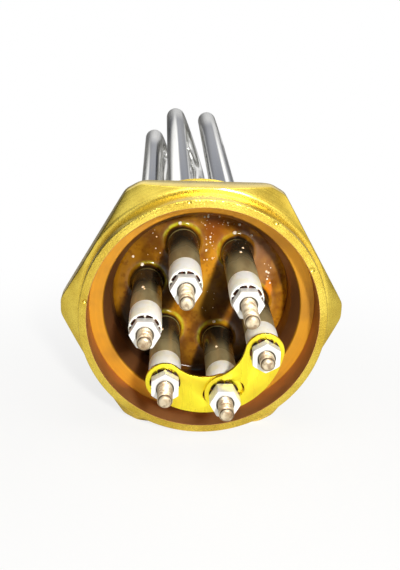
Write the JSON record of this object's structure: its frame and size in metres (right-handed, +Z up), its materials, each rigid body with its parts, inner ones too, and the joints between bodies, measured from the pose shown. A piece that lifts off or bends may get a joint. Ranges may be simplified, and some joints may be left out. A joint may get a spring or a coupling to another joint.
{
  "type": "screw plug immersion heater",
  "caption": "Brass screw plug immersion heater: hexagon plug with a rimmed terminal cup, potted bent tubular elements, ceramic-bushed studs with nuts, and curved star links.",
  "frame": {"origin": "on the plug axis, in the plane of the sealing shoulder behind the hexagon", "axes": "+Y along the plug axis into the tank, terminals towards -Y, +Z up, square to a flat of the hexagon"},
  "size_m": [0.0784, 0.2753, 0.07],
  "materials": {
    "plug_brass": "turned",
    "resin": "glossy amber",
    "sheath": "dark annealed",
    "magnesia": "packed powder",
    "coil_wire": "wire",
    "stud_steel": "threaded",
    "ceramic": "unglazed white",
    "washer_steel": "dark copper",
    "nut_zinc": "zinc plated",
    "link_brass": "smooth sheet"
  },
  "bodies": {
    "root": {"plug_body": "plug_brass", "potting_resin": "resin", "element_sheath_1": "sheath", "element_sheath_2": "sheath", "element_sheath_3": "sheath", "magnesia_fill_1": "magnesia", "magnesia_fill_2": "magnesia", "magnesia_fill_3": "magnesia", "heating_coil_1": "coil_wire", "heating_coil_2": "coil_wire", "heating_coil_3": "coil_wire", "terminal_stud_1": "stud_steel", "terminal_stud_2": "stud_steel", "terminal_stud_3": "stud_steel", "terminal_stud_4": "stud_steel", "terminal_stud_5": "stud_steel", "terminal_stud_6": "stud_steel", "ceramic_bush_1": "ceramic", "ceramic_bush_2": "ceramic", "ceramic_bush_3": "ceramic", "ceramic_bush_4": "ceramic", "ceramic_bush_5": "ceramic", "ceramic_bush_6": "ceramic", "star_washer_1": "washer_steel", "star_washer_2": "washer_steel", "star_washer_3": "washer_steel", "star_washer_4": "washer_steel", "star_washer_5": "washer_steel", "star_washer_6": "washer_steel", "terminal_nut_1": "nut_zinc", "terminal_nut_2": "nut_zinc", "terminal_nut_3": "nut_zinc", "terminal_nut_4": "nut_zinc", "terminal_nut_5": "nut_zinc", "terminal_nut_6": "nut_zinc", "star_link_lower": "link_brass", "star_link_upper": "link_brass"}
  },
  "joints": []
}
